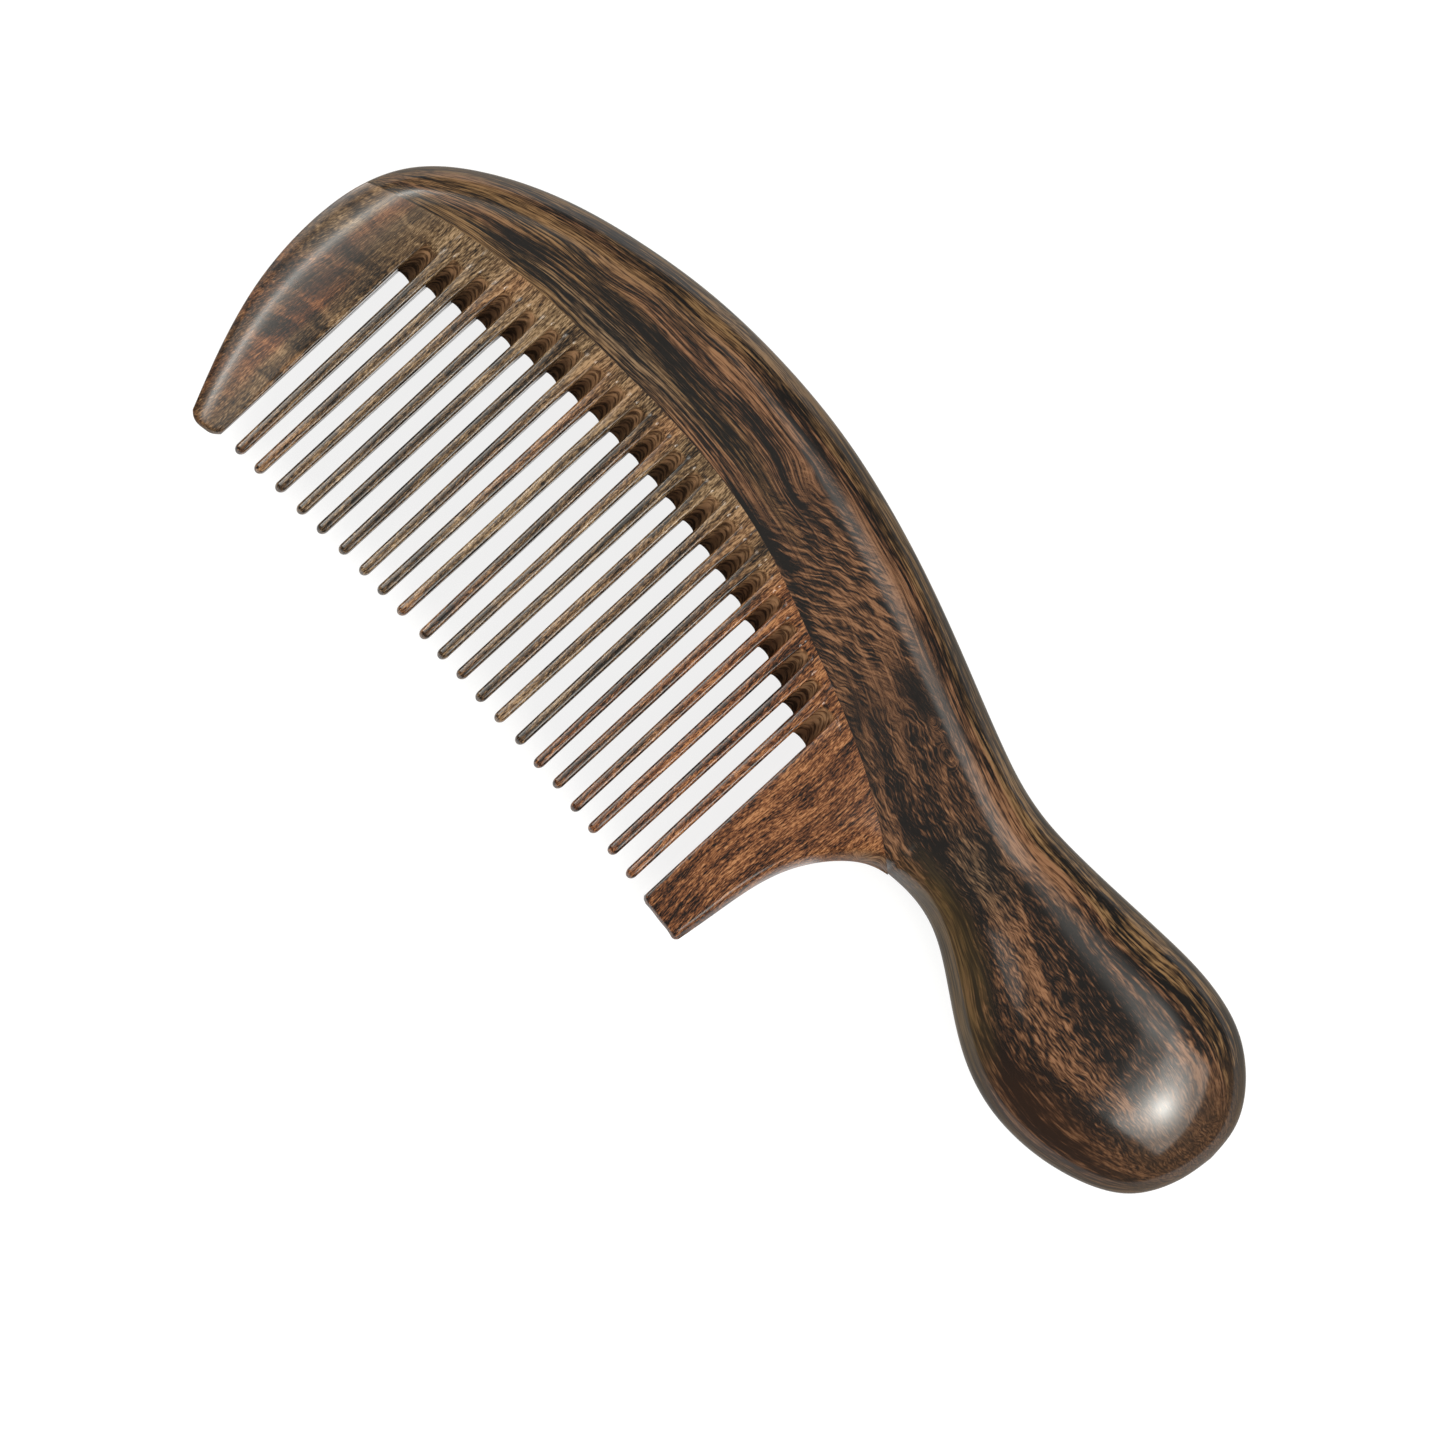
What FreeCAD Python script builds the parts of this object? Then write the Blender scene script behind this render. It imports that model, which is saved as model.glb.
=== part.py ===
import FreeCAD, Part
import math
import os

# Wooden wide tooth comb with a bulb handle, glued up from one lengthwise back and crosswise teeth.
# Drawing frame, in millimetres: x runs from the head end to the handle end, y from the tooth tips
# to the back, and z is the thickness, with zero on the mid-plane. The last step moves every piece,
# so that the comb lies on z = 0 with the origin under the middle of its box.

LENGTH = 185.0
BACK_TOP_Y = 65.75        # highest line of the back
BASE_Y = -1.45            # lowest point of the guards
BULB_HALF = 9.0           # half thickness at the bulb
NECK_HALF = 6.7
RIDGE_HALF = 6.3          # half thickness along the thickest line of the back
JOINT_HALF = 5.2          # half thickness where the teeth are glued to the back
NOTCH_JOINT_HALF = 5.8    # the same at the finger notch
TIP_HALF = 1.7            # half thickness at the tooth tips

TOOTH_COUNT = 21
PITCH = 4.105
FIRST_TOOTH_X = 16.98
TOOTH_HALF_WIDTH = 0.92   # half width of a tooth at its root
TIP_HALF_WIDTH = 0.8
TOOTH_EDGE = 0.5          # rounding of a tooth's long edges
BAR_FLARE = 4.0           # length over which that rounding fades out at the root
TIP_ARC = (58.0, 1.2, 560.0)      # the tips lie on this arc: middle x, middle y, radius
ROOT_ARC = (54.0, 41.05, 120.0)   # the through gaps end on this arc
ROOT_CHANNEL = 5.6        # how far each gap runs on up both faces past its through end
CROWN_RISE = 0.3         # how far the round end of a gap rises above its shoulders

HEAD_GUARD_X = 13.55      # inner side of the head guard
HEEL_GUARD_X = 102.75     # inner side of the heel guard

TONGUE_HALF = 1.6         # half thickness of the tongue that is glued into the back
TONGUE_DEPTH = 5.0
TONGUE_X = (12.0, 112.0)  # the groove is stopped short of both ends of the joint
GLUE_GAP = 0.05           # clearance all round the tongue

RIM_ROUND = 2.4           # rounding of the rim at the top of the finger notch
HEAD_ROUND = 4.6          # rounding of the head guard's outer edge at the joint
TIP_ROUND = 1.2           # rounding of both guards' outer edges at their ends
EDGE_ROUND = 6.5          # rounding along the top of the back
BULB_ROUND = 17.6         # the bulb is round right to its middle
SECTION_STEPS = 20        # spans from the lower to the upper edge of a section
FAR = 70.0                # reaches past the comb

THICKNESS_AXIS = FreeCAD.Vector(0.0, 0.0, 1.0)
ORIGIN = FreeCAD.Vector(0.0, 0.0, 0.0)

# Where the back meets the teeth, from beyond the head end to beyond the finger notch.
JOINT_POINTS = [
    (-4.0, 37.2), (5.6, 41.3), (20.0, 45.6), (38.0, 47.7), (57.5, 48.4),
    (76.0, 46.6), (91.7, 42.0), (106.7, 36.7), (121.0, 29.3), (128.0, 24.5)]

# Outer edge of the head guard, from below its end up past the joint.
HEAD_EDGE_POINTS = [
    (9.7, -3.0), (6.7, 3.0), (3.8, 10.0), (1.35, 18.0), (0.15, 26.0), (0.2, 34.0), (1.4, 40.0), (4.3, 46.0)]

# Side of the heel guard and the finger notch, from below its end to under the neck.
NOTCH_EDGE_POINTS = [
    (110.2, -3.0), (111.3, 4.0), (112.2, 10.7), (113.6, 16.2), (117.0, 22.3), (121.7, 26.4), (128.0, 27.7)]

# Ends of the two guards, from left to right across their sides.
HEAD_FOOT_POINTS = [
    (8.0, -0.35), (8.8, -1.05), (9.9, BASE_Y), (11.4, -1.3), (12.8, -0.8), (13.3, -0.3), (13.8, 0.6)]
HEEL_FOOT_POINTS = [
    (102.5, 0.6), (102.95, -0.3), (103.7, -0.8), (106.8, -1.1), (109.4, -1.42), (110.35, -1.25),
    (110.9, -0.4)]

# Sections of the back and the handle: upper edge x, y; lower edge x, y; half thickness at the lower
# edge and at the ridge; width of the rounding at the upper edge and at the lower edge. The lower
# edges of the first ones lie below the joint, and the joint cuts them off.
SECTIONS = [
    (0.05, 28.0, 16.0, 31.0, 4.3, 4.8, 5.5, 3.0),
    (0.85, 38.0, 18.0, 35.0, 4.6, 5.2, 5.8, 3.0),
    (4.3, 46.0, 22.0, 37.5, 4.7, 5.7, 6.0, 3.0),
    (12.0, 53.1, 27.0, 39.0, 4.7, 6.1, 6.3, 3.0),
    (22.5, 58.7, 33.0, 40.5, 4.7, RIDGE_HALF, EDGE_ROUND, 3.0),
    (35.0, 62.65, 41.0, 42.0, 4.7, RIDGE_HALF, EDGE_ROUND, 3.0),
    (48.0, 65.05, 51.0, 42.8, 4.7, RIDGE_HALF, 6.8, 3.0),
    (62.0, BACK_TOP_Y, 61.0, 42.6, 4.7, RIDGE_HALF, 8.0, 3.0),
    (76.0, 64.75, 72.0, 41.0, 4.7, RIDGE_HALF, 9.8, 3.0),
    (90.0, 61.95, 83.0, 38.0, 4.7, RIDGE_HALF, 10.8, 3.0),
    (103.0, 58.15, 96.0, 34.0, 4.8, RIDGE_HALF, 10.2, 3.0),
    (114.0, 54.35, 109.0, 29.6, 5.2, 6.4, 9.6, 2.6),
    (122.0, 51.6, 119.5, 27.0, 5.8, 6.5, 9.4, RIM_ROUND),
    (128.0, 49.9, 127.0, 27.65, 6.3, 6.6, 9.8, 4.3),
    (134.0, 49.05, 133.5, 26.9, NECK_HALF, NECK_HALF, 11.0, 7.8),
    (141.0, 49.1, 140.5, 23.4, 7.3, 7.3, 12.9, 12.6),
    (149.0, 49.65, 149.5, 18.1, 8.15, 8.15, 15.7, 15.7),
    (157.0, 50.3, 157.5, 15.5, 8.78, 8.78, 17.4, 17.4),
    (163.5, 50.6, 163.5, 15.2, BULB_HALF, BULB_HALF, BULB_ROUND, BULB_ROUND),
    (170.5, 49.95, 170.5, 16.3, 8.62, 8.62, BULB_ROUND, BULB_ROUND),
    (176.5, 47.7, 177.3, 19.0, 7.6, 7.6, BULB_ROUND, BULB_ROUND),
    (181.5, 43.5, 182.0, 23.2, 6.35, 6.35, BULB_ROUND, BULB_ROUND),
    (184.2, 38.8, 184.3, 28.6, 5.6, 5.6, BULB_ROUND, BULB_ROUND),
]
HANDLE_END = (LENGTH, 33.7)


def vec(x, y, z=0.0):
    return FreeCAD.Vector(x, y, z)


def smooth_edge(points):
    curve = Part.BSplineCurve()
    curve.interpolate([vec(x, y) for x, y in points])
    return curve.toShape()


def arc_y(arc, x):
    """Height of a wide arc, given by its highest point and its radius, at this x."""
    middle_x, middle_y, radius = arc
    return middle_y - radius + math.sqrt(radius ** 2 - (x - middle_x) ** 2)


def mirrored(shape):
    return shape.mirror(ORIGIN, THICKNESS_AXIS)


def prism(edges, corners, half_height=FAR):
    """Solid over the flat region that the edges and then the corners go round."""
    start = edges[0].valueAt(edges[0].FirstParameter)
    end = edges[-1].valueAt(edges[-1].LastParameter)
    path = [end] + corners + [start]
    lines = [Part.makeLine(a, b) for a, b in zip(path, path[1:])]
    face = Part.Face(Part.Wire(edges + lines))
    face.translate(vec(0.0, 0.0, -half_height))
    return face.extrude(vec(0.0, 0.0, 2.0 * half_height))


def slab(low_x, high_x, low_y, high_y, half_height=FAR):
    corner = vec(low_x, low_y, -half_height)
    return Part.makeBox(high_x - low_x, high_y - low_y, 2.0 * half_height, corner)


def solid_of(shape):
    """The one solid that a boolean operation left, without its compound."""
    solids = shape.Solids
    if len(solids) != 1:
        raise ValueError("expected one solid, got %d" % len(solids))
    return solids[0]


# ---- the back and the handle ----

def rounding(distance, width):
    """Height of a rounded edge, as a share of the full height, this far in from the edge."""
    if distance >= width:
        return 1.0
    return math.sqrt(max(0.0, 1.0 - (1.0 - distance / width) ** 2))


def section_row(upper_x, upper_y, lower_x, lower_y, low_half, high_half, upper_round, lower_round):
    """Points over the upper face along one section, from its lower edge to its upper edge."""
    lower = vec(lower_x, lower_y)
    upper = vec(upper_x, upper_y)
    height = (upper - lower).Length
    ridge = height - 0.7 * upper_round
    row = [lower]
    for step in range(1, SECTION_STEPS):
        share = (1.0 - math.cos(math.pi * step / SECTION_STEPS)) / 2.0
        rise = share * height
        plateau = low_half + (high_half - low_half) * min(1.0, rise / ridge)
        half = plateau * rounding(rise, lower_round) * rounding(height - rise, upper_round)
        row.append(lower + (upper - lower) * share + vec(0.0, 0.0, half))
    return row + [upper]


def back_and_handle_blank():
    """The shaped blank of the back and handle, still whole below the joint."""
    rows = [section_row(*section) for section in SECTIONS]
    rows.append([vec(*HANDLE_END)] * (SECTION_STEPS + 1))
    surface = Part.BSplineSurface()
    surface.interpolate(rows)
    upper_face = surface.toShape()
    first_section = [edge for edge in upper_face.Edges if edge.BoundBox.XMax < LENGTH / 4.0][0]
    end_face = Part.Face(Part.Wire([first_section, mirrored(first_section)]))
    shell = Part.Shell([upper_face, mirrored(upper_face), end_face])
    shell.sewShape()
    return Part.Solid(shell)


def make_back_and_handle(below_joint):
    groove = tongue_band(below_joint, TONGUE_DEPTH + GLUE_GAP, TONGUE_HALF + GLUE_GAP, GLUE_GAP)
    return solid_of(back_and_handle_blank().cut(below_joint).cut(groove))


# ---- the joint ----

def below_joint_region():
    joint = smooth_edge(JOINT_POINTS)
    return prism([joint], [vec(LENGTH, -FAR), vec(-FAR, -FAR), vec(-FAR, JOINT_POINTS[0][1])])


def tongue_band(below_joint, depth, half_thickness, end_gap):
    """The curved band that the tongues fill, starting a little inside the teeth."""
    band = below_joint.translated(vec(0.0, depth)).cut(below_joint.translated(vec(0.0, -1.0)))
    return band.common(slab(TONGUE_X[0] - end_gap, TONGUE_X[1] + end_gap, 0.0, FAR, half_thickness))


# ---- the board that the teeth and the guards are cut from ----

def joint_half(x):
    """Half thickness along the joint, which grows towards the finger notch."""
    share = min(1.0, max(0.0, (x - 95.0) / 26.0))
    return JOINT_HALF + (NOTCH_JOINT_HALF - JOINT_HALF) * share * share


def board_blank(below_joint):
    """Board that tapers from the joint to the tips, cut off along the joint."""
    foot_y = 2.0 * BASE_Y
    wires = []
    for x, y in JOINT_POINTS:
        top = joint_half(x)
        foot = TIP_HALF - (top - TIP_HALF) * -foot_y / y
        corners = [vec(x, foot_y, foot), vec(x, y + 2.0, top), vec(x, y + 2.0, -top), vec(x, foot_y, -foot)]
        wires.append(Part.makePolygon(corners + corners[:1]))
    return solid_of(Part.makeLoft(wires, True, False).common(below_joint))


def tooth_x(number):
    return FIRST_TOOTH_X + (number - 1) * PITCH


def gap_sides(number):
    """Left and right side of a gap. Gap 0 follows the head guard, and the last ends at the heel guard."""
    left = HEAD_GUARD_X if number == 0 else tooth_x(number) + TOOTH_HALF_WIDTH
    right = HEEL_GUARD_X if number == TOOTH_COUNT else tooth_x(number + 1) - TOOTH_HALF_WIDTH
    return left, right


def gap_middle(number):
    left, right = gap_sides(number)
    return (left + right) / 2.0


def gap_cutter(number):
    """One gap with its round end, which slants away from the mid-plane up both faces."""
    left, right = gap_sides(number)
    middle = gap_middle(number)
    end_y = arc_y(ROOT_ARC, middle)
    shoulder = end_y - CROWN_RISE
    foot = -FAR
    crown = Part.Arc(vec(right, shoulder), vec(middle, end_y), vec(left, shoulder)).toShape()
    corners = [vec(left, shoulder), vec(left, foot), vec(right, foot), vec(right, shoulder)]
    sides = [Part.makeLine(a, b) for a, b in zip(corners, corners[1:])]
    face = Part.Face(Part.Wire([crown] + sides))
    upper = face.extrude(vec(0.0, 2.0 * ROOT_CHANNEL, 2.0 * JOINT_HALF))
    return upper.fuse(mirrored(upper))


def bar_section(x, y, half_width, half_thick, edge):
    """Rounded rectangle across a tooth at height y."""
    arcs = []
    for index, (side_x, side_z) in enumerate([(1, 1), (-1, 1), (-1, -1), (1, -1)]):
        centre = vec(x + side_x * (half_width - edge), y, side_z * (half_thick - edge))
        turns = [math.radians(90.0 * index + turn) for turn in (0.0, 45.0, 90.0)]
        arcs.append([centre + vec(math.cos(turn) * edge, 0.0, math.sin(turn) * edge) for turn in turns])
    edges = []
    for arc, next_arc in zip(arcs, arcs[1:] + arcs[:1]):
        edges.append(Part.Arc(*arc).toShape())
        edges.append(Part.makeLine(arc[-1], next_arc[0]))
    return Part.Wire(edges)


def tooth_bar(number):
    """Rounded bar that a tooth is shaped to. It flares out at the root, where the block stays square."""
    x = tooth_x(number)
    tip_y = arc_y(TIP_ARC, x)
    root_y = arc_y(ROOT_ARC, x)
    waist_y = root_y - BAR_FLARE
    waist_half = TIP_HALF + (JOINT_HALF - TIP_HALF) * waist_y / (root_y + ROOT_CHANNEL)
    wires = [
        bar_section(x, tip_y, 0.3, TIP_HALF - 0.9, 0.25),
        bar_section(x, tip_y + 0.25, 0.58, TIP_HALF - 0.45, 0.45),
        bar_section(x, tip_y + 0.8, TIP_HALF_WIDTH, TIP_HALF, TOOTH_EDGE),
        bar_section(x, waist_y, TOOTH_HALF_WIDTH - 0.01, waist_half, TOOTH_EDGE),
        bar_section(x, root_y + BAR_FLARE / 2.0, PITCH, BULB_HALF, TOOTH_EDGE),
        bar_section(x, FAR, PITCH, BULB_HALF, TOOTH_EDGE),
    ]
    return Part.makeLoft(wires, True, True)


def make_tooth(number, board, tongues):
    span = slab(gap_middle(number - 1), gap_middle(number), -FAR, FAR)
    block = board.common(span).cut(gap_cutter(number - 1)).cut(gap_cutter(number))
    tooth = block.common(tooth_bar(number))
    return solid_of(tooth.fuse(tongues.common(span)).removeSplitter())


def on_rim(edge, rim):
    """Whether an edge follows the rim's outline over more than its corners."""
    span = edge.LastParameter - edge.FirstParameter
    for share in (0.0, 0.25, 0.5, 0.75, 1.0):
        point = edge.valueAt(edge.FirstParameter + span * share)
        flat = vec(point.x, point.y)
        if (rim.valueAt(rim.Curve.parameter(flat)) - flat).Length > 0.02:
            return False
    return edge.BoundBox.YLength > PITCH


def rounded_rim(block, rim, low_round, high_round):
    """Rounds the rim on both faces, with a radius that grows from its low end."""
    for side in (1.0, -1.0):
        edge = [e for e in block.Edges if on_rim(e, rim) and e.CenterOfMass.z * side > TIP_HALF / 2.0][0]
        starts_low = edge.valueAt(edge.FirstParameter).y < edge.valueAt(edge.LastParameter).y
        radii = (low_round, high_round) if starts_low else (high_round, low_round)
        block = block.makeFillet(radii[0], radii[1], [edge])
    return block


def below_foot(points):
    """Everything under the end of a guard."""
    return prism([smooth_edge(points)], [vec(points[-1][0], -FAR), vec(points[0][0], -FAR)])


def make_guard(board, tongues, rim_points, foot_points, far_corners, high_round, gap_number):
    """Broad end tooth between its rounded rim and the gap beside it."""
    middle = gap_middle(gap_number)
    foot = vec(middle, rim_points[0][1])
    rim = smooth_edge(rim_points)
    block = solid_of(board.common(prism([rim], far_corners + [foot])))
    guard = rounded_rim(block, rim, TIP_ROUND, high_round)
    guard = guard.cut(below_foot(foot_points)).cut(gap_cutter(gap_number))
    side = slab(-FAR, middle, -FAR, FAR) if gap_number == 0 else slab(middle, LENGTH, -FAR, FAR)
    return solid_of(guard.fuse(tongues.common(side)))


def make_head_guard(board, tongues):
    corners = [vec(gap_middle(0), FAR)]
    return make_guard(board, tongues, HEAD_EDGE_POINTS, HEAD_FOOT_POINTS, corners, HEAD_ROUND, 0)


def make_heel_guard(board, tongues):
    corners = [vec(NOTCH_EDGE_POINTS[-1][0], FAR), vec(gap_middle(TOOTH_COUNT), FAR)]
    return make_guard(board, tongues, NOTCH_EDGE_POINTS, HEEL_FOOT_POINTS, corners, RIM_ROUND, TOOTH_COUNT)


def make_all():
    below_joint = below_joint_region()
    tongues = tongue_band(below_joint, TONGUE_DEPTH, TONGUE_HALF, 0.0)
    board = board_blank(below_joint)
    nodes = {
        "back_and_handle": make_back_and_handle(below_joint),
        "head_guard": make_head_guard(board, tongues),
        "heel_guard": make_heel_guard(board, tongues),
    }
    for number in range(1, TOOTH_COUNT + 1):
        nodes["tooth_%02d" % number] = make_tooth(number, board, tongues)
    return nodes


os.makedirs("parts", exist_ok=True)
nodes = make_all()
to_origin = vec(-LENGTH / 2.0, -(BACK_TOP_Y + BASE_Y) / 2.0, BULB_HALF)
for name, shape in nodes.items():
    shape.translate(to_origin)
    shape.exportStep("parts/%s.step" % name)
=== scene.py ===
import math

import bmesh
import bpy
import numpy as np
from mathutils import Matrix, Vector


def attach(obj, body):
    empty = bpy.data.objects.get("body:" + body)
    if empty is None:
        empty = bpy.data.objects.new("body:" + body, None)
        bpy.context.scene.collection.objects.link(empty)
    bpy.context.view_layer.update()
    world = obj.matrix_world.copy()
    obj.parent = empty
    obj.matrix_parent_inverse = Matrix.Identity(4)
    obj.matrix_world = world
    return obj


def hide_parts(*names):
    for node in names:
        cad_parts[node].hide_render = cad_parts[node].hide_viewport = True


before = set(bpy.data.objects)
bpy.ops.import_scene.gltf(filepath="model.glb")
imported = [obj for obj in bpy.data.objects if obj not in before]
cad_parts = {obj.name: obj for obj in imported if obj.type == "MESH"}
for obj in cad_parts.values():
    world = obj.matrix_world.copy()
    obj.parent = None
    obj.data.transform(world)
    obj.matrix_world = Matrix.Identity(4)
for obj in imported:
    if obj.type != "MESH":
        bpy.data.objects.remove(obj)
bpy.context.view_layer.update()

# The comb lies flat on the floor. In its drawing frame, in millimetres, x runs from the head end to
# the handle end, y from the tooth tips to the back, and z is zero on the mid-plane.
MM = 0.001
DRAWING_ORIGIN = Vector((-92.5, -32.15, 9.0))     # where the drawing frame's origin lies in the row frame


def place(x, y, z=0.0):
    """A point of the drawing frame in the row frame, in metres."""
    return (Vector((x, y, z)) + DRAWING_ORIGIN) * MM


# ---- shape of the comb, in the drawing frame ----

LENGTH = 185.0
BACK_TOP_Y = 65.75
BASE_Y = -1.45
BULB_HALF = 9.0
RIDGE_HALF = 6.3
NECK_HALF = 6.7
RIM_ROUND = 2.4
TIP_HALF = 1.7
TOOTH_COUNT = 21
PITCH = 4.105
FIRST_TOOTH_X = 16.98
TOOTH_HALF_WIDTH = 0.92
TIP_HALF_WIDTH = 0.8
TIP_ARC = (58.0, 1.2, 560.0)
ROOT_ARC = (54.0, 41.05, 120.0)
CHANNEL_SLOPE = 5.2 / 5.6     # how steeply a gap's floor climbs above its through end
CHANNEL_HEIGHT = 5.5          # about how far that floor reaches above the through end
CROWN_RISE = 0.18             # how much a gap's end is arched
CORNER_DROP = 0.15            # how much lower still the corners of a gap's end are
HEAD_GUARD_X = 13.55
HEEL_GUARD_X = 102.75
TONGUE_HALF = 1.6
TONGUE_DEPTH = 5.0
TONGUE_X = (12.0, 112.0)
GLUE_GAP = 0.05
BULB_ROUND = 17.6

JOINT_POINTS = [
    (-4.0, 37.2), (5.6, 41.3), (20.0, 45.6), (38.0, 47.7), (57.5, 48.4),
    (76.0, 46.6), (91.7, 42.0), (106.7, 36.7), (121.0, 29.3), (128.0, 24.5)]
HEAD_EDGE_POINTS = [
    (9.7, -3.0), (6.7, 3.0), (3.8, 10.0), (1.35, 18.0), (0.15, 26.0), (0.2, 34.0), (1.4, 40.0), (4.3, 46.0)]
NOTCH_EDGE_POINTS = [
    (110.2, -3.0), (111.3, 4.0), (112.2, 10.7), (113.6, 16.2), (117.0, 22.3), (121.7, 26.4), (128.0, 27.7)]
HEAD_FOOT_POINTS = [(8.0, -0.35), (8.8, -1.05), (9.9, BASE_Y), (11.4, -1.3), (12.8, -0.8), (13.55, -0.1)]
HEEL_FOOT_POINTS = [
    (102.75, -0.35), (103.2, -0.76), (104.2, -0.94), (106.8, -1.14), (109.4, -1.38), (110.35, -1.28),
    (110.9, -0.5)]

# Sections of the back and the handle: upper edge x, y; lower edge x, y; half thickness at the lower
# edge and at the ridge; width of the rounding at the upper edge and at the lower edge.
SECTIONS = [
    (0.05, 28.0, 16.0, 31.0, 4.3, 4.8, 5.5, 3.0),
    (0.85, 38.0, 18.0, 35.0, 4.6, 5.2, 5.8, 3.0),
    (4.3, 46.0, 22.0, 37.5, 4.7, 5.7, 6.0, 3.0),
    (12.0, 53.1, 27.0, 39.0, 4.7, 6.1, 6.3, 3.0),
    (22.5, 58.7, 33.0, 40.5, 4.7, RIDGE_HALF, 6.5, 3.0),
    (35.0, 62.65, 41.0, 42.0, 4.7, RIDGE_HALF, 6.5, 3.0),
    (48.0, 65.05, 51.0, 42.8, 4.7, RIDGE_HALF, 6.8, 3.0),
    (62.0, BACK_TOP_Y, 61.0, 42.6, 4.7, RIDGE_HALF, 8.0, 3.0),
    (76.0, 64.75, 72.0, 41.0, 4.7, RIDGE_HALF, 9.8, 3.0),
    (90.0, 61.95, 83.0, 38.0, 4.7, RIDGE_HALF, 10.8, 3.0),
    (103.0, 58.15, 96.0, 34.0, 4.8, RIDGE_HALF, 10.2, 3.0),
    (114.0, 54.35, 109.0, 29.6, 5.2, 6.4, 9.6, 2.6),
    (122.0, 51.6, 119.5, 27.0, 5.8, 6.5, 9.4, RIM_ROUND),
    (128.0, 49.9, 127.0, 27.65, 6.3, 6.6, 9.8, 4.3),
    (134.0, 49.05, 133.5, 26.9, NECK_HALF, NECK_HALF, 11.0, 7.8),
    (141.0, 49.1, 140.5, 23.4, 7.3, 7.3, 12.9, 12.6),
    (149.0, 49.65, 149.5, 18.1, 8.15, 8.15, 15.7, 15.7),
    (157.0, 50.3, 157.5, 15.5, 8.78, 8.78, 17.4, 17.4),
    (163.5, 50.6, 163.5, 15.2, BULB_HALF, BULB_HALF, BULB_ROUND, BULB_ROUND),
    (170.5, 49.95, 170.5, 16.3, 8.62, 8.62, BULB_ROUND, BULB_ROUND),
    (176.5, 47.7, 177.3, 19.0, 7.6, 7.6, BULB_ROUND, BULB_ROUND),
    (181.5, 43.5, 182.0, 23.2, 6.35, 6.35, BULB_ROUND, BULB_ROUND),
    (184.2, 38.8, 184.3, 28.6, 5.6, 5.6, BULB_ROUND, BULB_ROUND),
]
HANDLE_END = (LENGTH, 33.7, 0.0)
SECTION_STEPS = 20


def spline(knots, values):
    """Smooth curve through the values, as a function that takes many positions at once."""
    t = np.asarray(knots, float)
    v = np.asarray(values, float)
    gaps = np.diff(t)
    slopes = np.diff(v, axis=0) / gaps.reshape(-1, *[1] * (v.ndim - 1))
    count = len(t)
    system = np.eye(count)
    bends = np.zeros_like(v)
    for i in range(1, count - 1):
        system[i, i - 1:i + 2] = gaps[i - 1], 2.0 * (gaps[i - 1] + gaps[i]), gaps[i]
        bends[i] = 6.0 * (slopes[i] - slopes[i - 1])
    bends = np.linalg.solve(system, bends.reshape(count, -1)).reshape(v.shape)

    def at(where):
        where = np.asarray(where, float)
        i = np.clip(np.searchsorted(t, where) - 1, 0, count - 2)
        shape = where.shape + (1,) * (v.ndim - 1)
        h = gaps[i].reshape(shape)
        a = ((t[i + 1] - where) / gaps[i]).reshape(shape)
        b = 1.0 - a
        bent = (a ** 3 - a) * bends[i] + (b ** 3 - b) * bends[i + 1]
        return a * v[i] + b * v[i + 1] + bent * h * h / 6.0
    return at


def outline(points):
    """Smooth curve through points of the plan, running from 0 to 1."""
    points = np.array(points)
    lengths = np.concatenate([[0.0], np.cumsum(np.linalg.norm(np.diff(points, axis=0), axis=1))])
    return spline(lengths / lengths[-1], points)


joint_curve = spline(*zip(*JOINT_POINTS))
JOINT_END_FALL = 0.7      # slope of the joint past its last point


def joint_y(x):
    """Height of the joint between the back and the teeth, which runs straight on past its points."""
    inside = np.minimum(x, JOINT_POINTS[-1][0])
    return joint_curve(inside) - JOINT_END_FALL * (x - inside)


def arc_y(arc, x):
    """Height of an arc, given by its highest point and its radius."""
    top_x, top_y, radius = arc
    return top_y - radius + np.sqrt(radius ** 2 - (x - top_x) ** 2)


def rounded(distance, width):
    """Height of a rounded edge, as a share of the full height, this far in from the edge."""
    return np.sqrt(np.clip(1.0 - np.clip(1.0 - distance / width, 0.0, 1.0) ** 2, 0.0, 1.0))


SHARP_ANGLE = math.radians(38.0)
MERGE_DISTANCE = 2e-6     # in metres


def skin(name, rows, skipped=None):
    """Closed mesh over rings of points. Rings and stretches that shrink to nothing are merged away."""
    count, ring = rows.shape[:2]
    points = (rows.reshape(-1, 3) + np.array(DRAWING_ORIGIN)) * MM
    faces = []
    for i in range(count - 1):
        for j in range(ring):
            if skipped is None or not skipped[i, j]:
                k = (j + 1) % ring
                faces.append((i * ring + j, i * ring + k, (i + 1) * ring + k, (i + 1) * ring + j))
    mesh = bpy.data.meshes.new(name)
    mesh.from_pydata([tuple(p) for p in points], [], faces)
    bm = bmesh.new()
    bm.from_mesh(mesh)
    bmesh.ops.remove_doubles(bm, verts=bm.verts, dist=MERGE_DISTANCE)
    bmesh.ops.delete(bm, geom=[v for v in bm.verts if not v.link_faces], context="VERTS")
    bmesh.ops.recalc_face_normals(bm, faces=bm.faces)
    bm.to_mesh(mesh)
    bm.free()
    for polygon in mesh.polygons:
        polygon.use_smooth = True
    mesh.set_sharp_from_angle(angle=SHARP_ANGLE)
    piece = bpy.data.objects.new(name, mesh)
    bpy.context.scene.collection.objects.link(piece)
    return piece


# ---- back and handle ----

STATIONS = 330
HALF_RING = 41
HEAD_EASE = 1.2               # rows lie closer together towards the head end
HANDLE_EASE = 1.35            # and towards the handle end
FINE_STATIONS = 4000          # for finding where the joint meets the edges
FINE_COLUMNS = 400            # for finding where it crosses a section


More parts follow.
